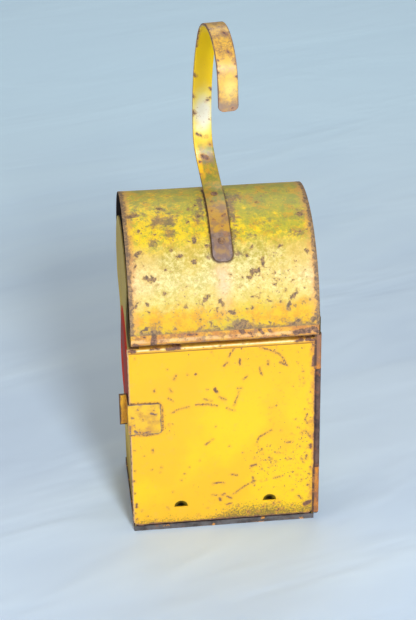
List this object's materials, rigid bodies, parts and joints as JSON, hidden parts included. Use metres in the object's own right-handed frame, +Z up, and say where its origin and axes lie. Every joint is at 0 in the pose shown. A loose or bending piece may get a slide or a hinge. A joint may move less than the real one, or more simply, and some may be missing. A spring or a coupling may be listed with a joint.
{
  "type": "hanging warning lamp",
  "caption": "Sheet-steel oil warning lamp with a barrel cowl, crook handle, hinged front door, end lenses and a flat-wick burner on a fount.",
  "frame": {"origin": "centre of the base's underside, in the plane that the lamp stands on", "axes": "+X across the door towards its hinge, +Y from the door to the back, +Z up"},
  "size_m": [0.1651, 0.162, 0.4298],
  "materials": {
    "yellow_paint": "chipped gloss enamel, worn to rust at the edges",
    "handle_paint": "worn gloss enamel over rust",
    "sooty_steel": "sooty, rusted sheet",
    "rusted_steel": "rusted, with traces of paint",
    "red_glass": "pressed red glass, dusty",
    "gasket": "aged cork and rubber",
    "tinplate": "dull tinned sheet with oil stains",
    "brass": "tarnished",
    "wick_cotton": "woven cotton, charred at the top"
  },
  "bodies": {
    "case": {"base_pan": "rusted_steel", "back_panel": "yellow_paint", "end_plate_left": "yellow_paint", "end_plate_right": "yellow_paint", "front_header": "yellow_paint", "inner_roof": "sooty_steel", "cowl": "yellow_paint", "handle_strap": "handle_paint", "handle_rivets": "handle_paint", "hinge_leaf": "rusted_steel", "hinge_pin": "rusted_steel", "latch_catch": "rusted_steel", "lens_left": "red_glass", "lens_right": "red_glass", "lens_gaskets": "gasket", "lens_rings": "tinplate", "lens_clips": "tinplate", "fount_guides": "rusted_steel", "fount_tank": "tinplate", "fount_lid": "tinplate", "burner_collar": "brass", "filler_neck": "brass", "burner_body": "brass", "wick_tube": "brass", "burner_dome": "brass"},
    "door": {"door_panel": "yellow_paint", "latch_plate": "yellow_paint"},
    "latch": {"latch_spring": "yellow_paint"},
    "winder": {"winder_spindle": "brass", "winder_wheel": "brass", "winder_knob": "brass"},
    "wick": {"wick": "wick_cotton"},
    "filler_cap": {"filler_cap": "brass", "filler_washer": "gasket"}
  },
  "joints": [
    {"name": "door_hinge", "type": "hinge", "parent": "case", "child": "door", "pos_m": [0.0786, -0.05245, 0.09], "axis": [0, 0, 1], "range_deg": [0, 170]},
    {"name": "latch_flex", "type": "hinge", "parent": "door", "child": "latch", "pos_m": [-0.0778, -0.0545, 0.11], "axis": [0, 0, 1], "range_deg": [0, 8], "stiffness_Nm_per_rad": 0.3},
    {"name": "winder_turn", "type": "hinge", "parent": "case", "child": "winder", "pos_m": [0.00535, 0.0002, 0.077], "axis": [0, 1, 0], "range_deg": [-115, 58]},
    {"name": "wick_lift", "type": "slide", "parent": "case", "child": "wick", "axis": [0, 0, 1], "range_m": [-0.008, 0.004]},
    {"name": "filler_cap_turn", "type": "hinge", "parent": "case", "child": "filler_cap", "pos_m": [-0.029, -0.0098, 0.064], "axis": [0, 0, 1], "range_deg": [0, 540]}
  ],
  "couplings": [
    {"joint": "winder_turn", "follows": "wick_lift", "rad_per_m": 250}
  ]
}
